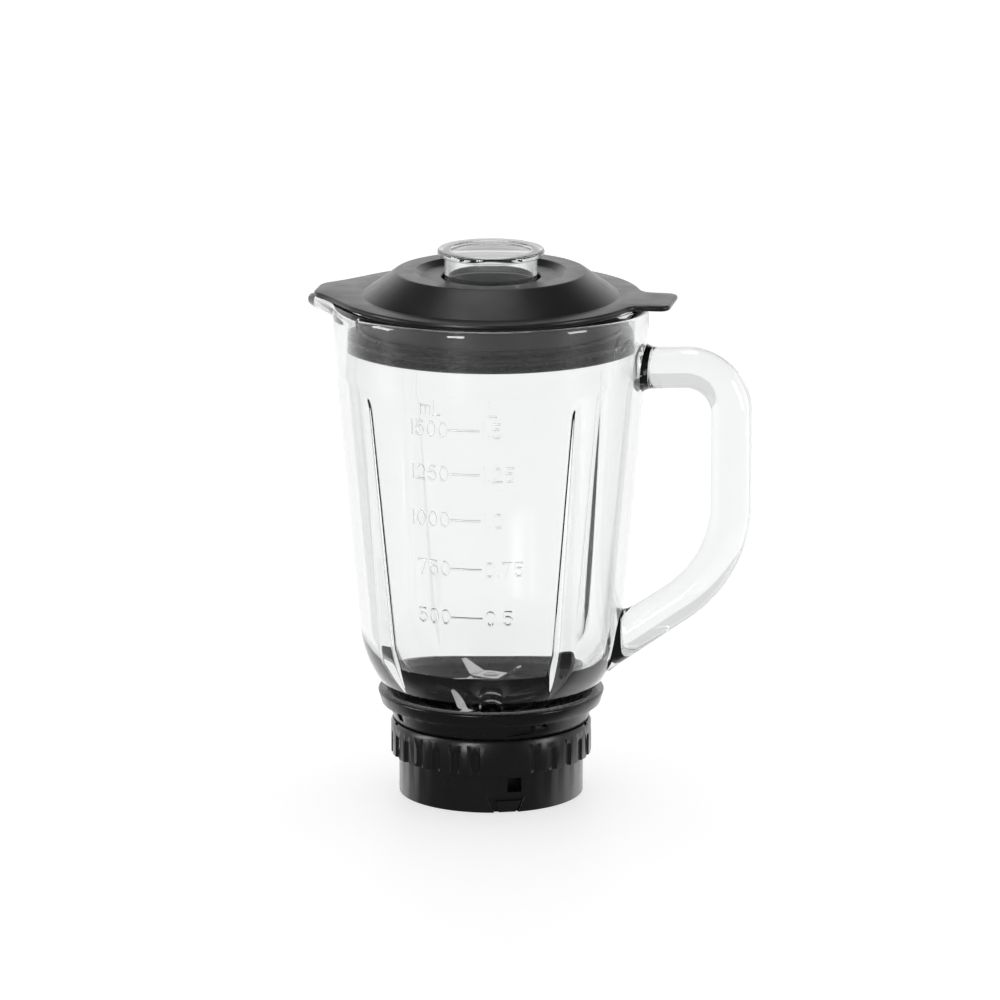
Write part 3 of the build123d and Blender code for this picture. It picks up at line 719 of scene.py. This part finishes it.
def stroke_bead(bm, line, face):
    """One stroke as a closed rounded bead on the wall, its foot sunk in the glass."""
    half = STROKE_W / 2
    low, high, inset = 0.1, 0.3, 0.7 * half
    section = [
        (-half, -SUNK), (-half, low), (-inset, high), (0, RELIEF), (inset, high), (half, low), (half, -SUNK),
    ]
    rings = []
    closed = line[0] == line[-1]
    line = line[:-1] if closed else line
    last = len(line) - 1
    for i, (x, z) in enumerate(line):
        here = Vector((x, z))
        before = (here - Vector(line[i - 1])).normalized() if i or closed else None
        after = (Vector(line[(i + 1) % len(line)]) - here).normalized() if i < last or closed else None
        along = ((before or after) + (after or before)).normalized()
        side = Vector((-along.y, along.x))
        stretch = 1 / max(0.5, along.dot(before or after))
        spread = here.copy()
        if before is None:
            spread -= along * half * STROKE_END
        if after is None:
            spread += along * half * STROKE_END
        ring = []
        for across, rise in section:
            point = spread + side * across * stretch
            r = wall_radius(point.y) + rise
            turn = face + point.x / wall_radius(point.y)
            place = (mm(r) * math.cos(turn), mm(r) * math.sin(turn), NECK_Z + mm(point.y))
            ring.append(bm.verts.new(place))
        rings.append(ring)
    count = len(section)
    for low, high in zip(rings, rings[1:] + rings[:1] if closed else rings[1:]):
        for k in range(count):
            n = (k + 1) % count
            bm.faces.new((low[k], low[n], high[n], high[k]))
    if not closed:
        bm.faces.new(rings[0])
        bm.faces.new(list(reversed(rings[-1])))


def scale_beads():
    """All raised marks as one object of separate closed beads."""
    low = LETTER_H / 2
    front, rear = [], []
    for z, millilitres, litres in SCALE_ROWS:
        front += word_strokes(millilitres, -TICK_HALF - TICK_TO_ML, z - low, from_right=True)
        front.append([(-TICK_HALF + TICK_HALF * k / 4, z) for k in range(9)])
        front += word_strokes(litres, TICK_HALF + TICK_TO_LITRES, z - low)
    front += word_strokes("mL", -TICK_HALF - HEADING_TO_ML, HEADING_Z, from_right=True)
    front += word_strokes("L", TICK_HALF + HEADING_TO_LITRES, HEADING_Z)
    rear += word_strokes("OZ", REAR_OZ_X, REAR_HEADING_Z, from_right=True)
    rear += word_strokes("CUPS", REAR_CUPS_X, REAR_HEADING_Z)
    bm = bmesh.new()
    for face, strokes in ((FRONT_FACE, front), (BACK_FACE, rear)):
        for line in strokes:
            stroke_bead(bm, line, face)
    bmesh.ops.recalc_face_normals(bm, faces=bm.faces)
    mesh = bpy.data.meshes.new("scale_beads")
    bm.to_mesh(mesh)
    bm.free()
    mesh.materials.append(MAT["glass"])
    beads = bpy.data.objects.new("scale_beads", mesh)
    scene.collection.objects.link(beads)
    return beads


jug = glass_body(MAT["glass"])
rod = handle_rod(MAT["glass"])
boolean(rod, jug_core(), "DIFFERENCE")
boolean(jug, rod, "UNION")
boolean(jug, scale_beads(), "UNION")
jug.data.polygons.foreach_set("use_smooth", [True] * len(jug.data.polygons))
jug.data.set_sharp_from_angle(angle=math.radians(38))
stand_for(jug, "glass_jug")

# ---------------------------------------------------------------- lid
LID_MM = LID_Z / MM
BRIM_R, BRIM_H, BRIM_EDGE = 68.8, 2.5, 1.1
BRIM_INNER_R = 57.5
BRIM_LEAST, BRIM_MOST = 50.0, 95.0
COVER_CORE = [(-68.7, -5.0), (-68.7, 5.0), (-47.0, 27.1), (-47.0, -27.1)]
COVER_ROUND = 12.0
TAB_CORE = [(45.0, -10.7), (79.0, -10.7), (79.0, 10.7), (45.0, 10.7)]
TAB_ROUND = 5.0
COVER_BLEND, TAB_BLEND = 9.0, 7.0
LID_PROFILE = [
    (59.1, -21.0, 0.6), (59.1, 1.6, 0), (58.9, 2.1, 0.3), (43.3, 13.2, 2.2), (34.4, 13.2, 1.3),
    (31.0, 10.8, 1.4), (22.4, 10.8, 1.0), (22.4, -12.2, 0.2), (20.2, -12.2, 0.4), (20.2, -14.0, 0.4),
    (24.4, -14.0, 0.6), (24.4, 8.4, 1.2), (33.0, 8.4, 1.2), (36.0, 10.8, 1.2), (42.2, 10.8, 1.5),
    (56.7, 0.6, 1.2), (56.7, -21.0, 0.6),
]


def polygon_distance(x, y, corners):
    """Signed distance of a point from a convex polygon, negative inside."""
    best, inside = 1e9, True
    count = len(corners)
    for i, (ax, ay) in enumerate(corners):
        bx, by = corners[(i + 1) % count]
        ex, ey, wx, wy = bx - ax, by - ay, x - ax, y - ay
        t = min(max((wx * ex + wy * ey) / (ex * ex + ey * ey), 0), 1)
        best = min(best, math.hypot(wx - ex * t, wy - ey * t))
        if ex * wy - ey * wx < 0:
            inside = False
    return -best if inside else best


def brim_distance(x, y):
    """Signed distance from the brim's outline: disc, spout cover and grip tab, blended."""
    disc = math.hypot(x, y) - BRIM_R
    cover = polygon_distance(x, y, COVER_CORE[::-1]) - COVER_ROUND
    tab = polygon_distance(x, y, TAB_CORE) - TAB_ROUND
    return -smax(smax(-disc, -cover, COVER_BLEND), -tab, TAB_BLEND)


def brim_radius(angle, inset):
    """Where a ray from the axis reaches the outline moved inwards by inset."""
    c, s = math.cos(angle), math.sin(angle)
    low, high = BRIM_LEAST, BRIM_MOST
    for _ in range(26):
        middle = (low + high) / 2
        if brim_distance(middle * c, middle * s) < -inset:
            low = middle
        else:
            high = middle
    return low


def lid_brim(material):
    """The flat brim with a rounded edge, its thickness hidden inside the lid's skirt."""
    steps, segments = 6, 540
    edge = []
    for k in range(steps + 1):
        turn = math.pi / 2 * (1 - 2 * k / steps)
        edge.append((BRIM_EDGE * (1 - math.cos(turn)), BRIM_H / 2 + BRIM_EDGE * math.sin(turn)))
    lift = BRIM_H / 2 - BRIM_EDGE
    verts, faces = [], []
    count = len(edge) + 2
    for k in range(segments):
        angle = 2 * math.pi * k / segments
        c, s = math.cos(angle), math.sin(angle)
        column = [(BRIM_INNER_R, BRIM_H)]
        for i, (inset, z) in enumerate(edge):
            side = (i < steps / 2) - (i > steps / 2)
            column.append((brim_radius(angle, inset), z + lift * side))
        column.append((BRIM_INNER_R, 0.0))
        verts += [(mm(r) * c, mm(r) * s, LID_Z + mm(z)) for r, z in column]
    for k in range(segments):
        following = (k + 1) % segments
        for i in range(count):
            j = (i + 1) % count
            faces.append((k * count + i, k * count + j, following * count + j, following * count + i))
    return mesh_object("lid_brim", verts, faces, material)


shell = lathe("lid", [(r, z + LID_MM) for r, z in rounded(LID_PROFILE, 8)], MAT["lid"], 360, sharp=0)
boolean(shell, lid_brim(MAT["lid"]), "UNION")
shell.data.polygons.foreach_set("use_smooth", [True] * len(shell.data.polygons))
shell.data.set_sharp_from_angle(angle=math.radians(32))
stand_for(shell, "lid_cover")

SEAL_PROFILE = [
    (59.1, -21.0, 0.3), (60.6, -21.0, 0.3), (60.8, -20.5, 0.3), (65.5, -20.0, 0.5), (65.5, -18.8, 0.5),
    (60.8, -18.1, 0.8), (60.7, -16.0, 0.8), (65.5, -14.8, 0.5), (65.5, -13.6, 0.5), (60.6, -12.9, 0.6),
    (60.2, -11.0, 0.5), (59.1, -11.0, 0.2),
]
seal = lathe("lid_lips", [(r, z + LID_MM) for r, z in rounded(SEAL_PROFILE, 5)], MAT["lid_seal"], 300)
stand_for(seal, "lid_seal")

# ---------------------------------------------------------------- measuring cap
CAP_PROFILE = [
    (0.0, 22.1, 0), (17.6, 22.1, 0.5), (18.5, 23.3, 0.5), (24.4, 23.3, 1.0), (24.4, 20.5, 0.8),
    (21.1, 20.5, 0.7), (21.1, -12.0, 0.5), (19.3, -12.0, 0.4), (19.0, 20.2, 0.9), (0.0, 20.2, 0),
]
cap = lathe("cap", [(r, z + LID_MM) for r, z in rounded(CAP_PROFILE, 6)], MAT["clear"], 256)
stand_for(cap, "measuring_cap")

# ---------------------------------------------------------------- softened edges of the CAD pieces
EDGE_SOFTNESS = {
    "screw_collar": 0.45,
    "blade_carrier": 0.35,
    "bearing_sleeve": 0.2,
    "jug_ring": 0.35,
    "jug_seal": 0.2,
    "upper_blade": 0.3,
    "lower_blade": 0.3,
    "blade_spacer": 0.15,
    "drive_shaft": 0.2,
    "drive_coupling": 0.35,
    "coupling_insert": 0.2,
    "thrust_washer": 0.15,
    "lower_bearing": 0.2,
    "bearing_circlip": 0.1,
}


def soften(node, width, limit=30):
    """Welds a CAD node's shading seams and rounds its sharp edges."""
    weld = NODES[node].modifiers.new("weld", "WELD")
    weld.merge_threshold = 1e-6
    bevel = NODES[node].modifiers.new("edges", "BEVEL")
    bevel.width = mm(width)
    bevel.segments = 2
    bevel.limit_method = "ANGLE"
    bevel.angle_limit = math.radians(limit)
    bevel.use_clamp_overlap = True
    bevel.harden_normals = True


for node_name, softness in EDGE_SOFTNESS.items():
    soften(node_name, softness)

# ---------------------------------------------------------------- camera
CENTRE_Z = 0.1365
ASIDE = 0.0041
DISTANCE = 3.3
ELEVATION = math.radians(13.6)
AZIMUTH = math.radians(10)
SENSOR, FIELD = 36.0, 0.457

camera = bpy.data.objects.new("camera", bpy.data.cameras.new("camera"))
scene.collection.objects.link(camera)
scene.camera = camera
back = Vector((
    math.sin(AZIMUTH) * math.cos(ELEVATION),
    -math.cos(AZIMUTH) * math.cos(ELEVATION),
    math.sin(ELEVATION),
))
right = Vector((math.cos(AZIMUTH), math.sin(AZIMUTH), 0))
camera.location = Vector((0, 0, CENTRE_Z)) + right * ASIDE + back * DISTANCE
camera.rotation_mode = "QUATERNION"
camera.rotation_quaternion = (-back).to_track_quat("-Z", "Y")
camera.data.sensor_width = SENSOR
camera.data.lens = SENSOR * DISTANCE / FIELD
camera.data.clip_start = 0.1
camera.data.clip_end = 50

# ---------------------------------------------------------------- floor and light
floor_material = Nodes("studio_floor")
floor_material.tint(floor_material.noise(3, 2), (0.6, 0.6, 0.6), (0.62, 0.62, 0.62))
floor_material.set(Roughness=0.6, Emission_Strength=0.6)
floor_material.shader.inputs["Emission Color"].default_value = (1, 1, 1, 1)
floor = mesh_object(
    "floor",
    [(-30, -30, 0), (30, -30, 0), (30, 30, 0), (-30, 30, 0)],
    [(0, 1, 2, 3)],
    floor_material.material,
)


def softbox(name, location, target, width, height, power):
    light = bpy.data.lights.new(name, "AREA")
    light.shape = "RECTANGLE"
    light.size = width
    light.size_y = height
    light.energy = power
    lamp = bpy.data.objects.new(name, light)
    scene.collection.objects.link(lamp)
    lamp.location = location
    lamp.rotation_mode = "QUATERNION"
    lamp.rotation_quaternion = (Vector(target) - Vector(location)).to_track_quat("-Z", "Y")
    lamp.visible_camera = False
    return lamp


# The wide top light fills the shade without showing in anything. The others only show as highlights.
top = softbox("top_light", (0, 0, 4.5), (0, 0, 0), 14.0, 14.0, 330)
top.visible_glossy = False
over = softbox("overhead_light", (-0.12, 0.25, 1.3), (0, 0, 0.1), 0.6, 0.45, 3.2)
front = softbox("front_light", (-0.44, -1.64, 0.47), (0, 0, 0.14), 0.36, 0.86, 20)
left = softbox("left_light", (-1.9, -0.5, 0.6), (0, 0, 0.14), 0.6, 1.1, 26)
right_box = softbox("right_light", (1.8, -0.5, 0.6), (0, 0, 0.14), 0.5, 1.1, 20)
top.visible_transmission = False
for lamp in (over, front, left, right_box):
    lamp.visible_transmission = False
    lamp.visible_diffuse = False

# A bright tent that only rays through glass can see. It lights nothing and casts no shadow.
TENT_R = 14.0
tent_material = Nodes("studio_tent")
tent_place = tent_material.add("ShaderNodeSeparateXYZ")
tent_material.link(tent_material.place, tent_place.inputs["Vector"])
tent_material.set(Roughness=1.0, Specular_IOR_Level=0.0, Base_Color=(0, 0, 0, 1))
tent_material.shader.inputs["Emission Color"].default_value = (1, 1, 1, 1)
tent_material.link(
    tent_material.span(tent_place.outputs["Z"], 0.8, 0.5, 0.5 * TENT_R, 0.98 * TENT_R),
    tent_material.shader.inputs["Emission Strength"],
)
tent_mm = TENT_R / MM
tent_profile = []
for degrees in range(-30, 90, 5):
    rise = math.radians(degrees)
    tent_profile.append((tent_mm * math.cos(rise), tent_mm * math.sin(rise)))
tent_profile += [(0.0, tent_mm), (0.0, -0.5 * tent_mm)]
tent = lathe("studio_tent", tent_profile, tent_material.material, 48, sharp=0)
tent.visible_camera = False
tent.visible_diffuse = False
tent.visible_glossy = False
tent.visible_shadow = False
tent.visible_volume_scatter = False
floor.visible_glossy = False

# the surroundings: a bright backdrop behind the object, dim elsewhere
world = bpy.data.worlds.new("studio")
scene.world = world
world.use_nodes = True
sky = world.node_tree


def sky_node(kind, **values):
    node = sky.nodes.new(kind)
    for key, value in values.items():
        setattr(node, key, value)
    return node


direction = sky_node("ShaderNodeSeparateXYZ")
sky.links.new(sky_node("ShaderNodeTexCoord").outputs["Generated"], direction.inputs["Vector"])


def sky_span(axis, start, end, low, high):
    node = sky_node("ShaderNodeMapRange", interpolation_type="SMOOTHSTEP")
    for key, value in {"From Min": start, "From Max": end, "To Min": low, "To Max": high}.items():
        node.inputs[key].default_value = value
    sky.links.new(direction.outputs[axis], node.inputs["Value"])
    return node.outputs["Result"]


def sky_math(operation, a, b):
    node = sky_node("ShaderNodeMath", operation=operation)
    for socket, value in zip(node.inputs, (a, b)):
        if isinstance(value, (int, float)):
            socket.default_value = value
        else:
            sky.links.new(value, socket)
    return node.outputs["Value"]


SKY_BRIGHT, SKY_DIM = 1.3, 0.1
band = sky_math("MULTIPLY", sky_span("Z", 0.36, 0.62, 1.0, 0.0), sky_span("Y", 0.0, 0.5, 0.1, 1.0))
strength = sky_math("ADD", sky_math("MULTIPLY", band, SKY_BRIGHT), SKY_DIM)
background = sky.nodes["Background"]
background.inputs["Color"].default_value = (1, 1, 1, 1)
sky.links.new(strength, background.inputs["Strength"])
scene.view_settings.view_transform = "Standard"
scene.view_settings.look = "None"
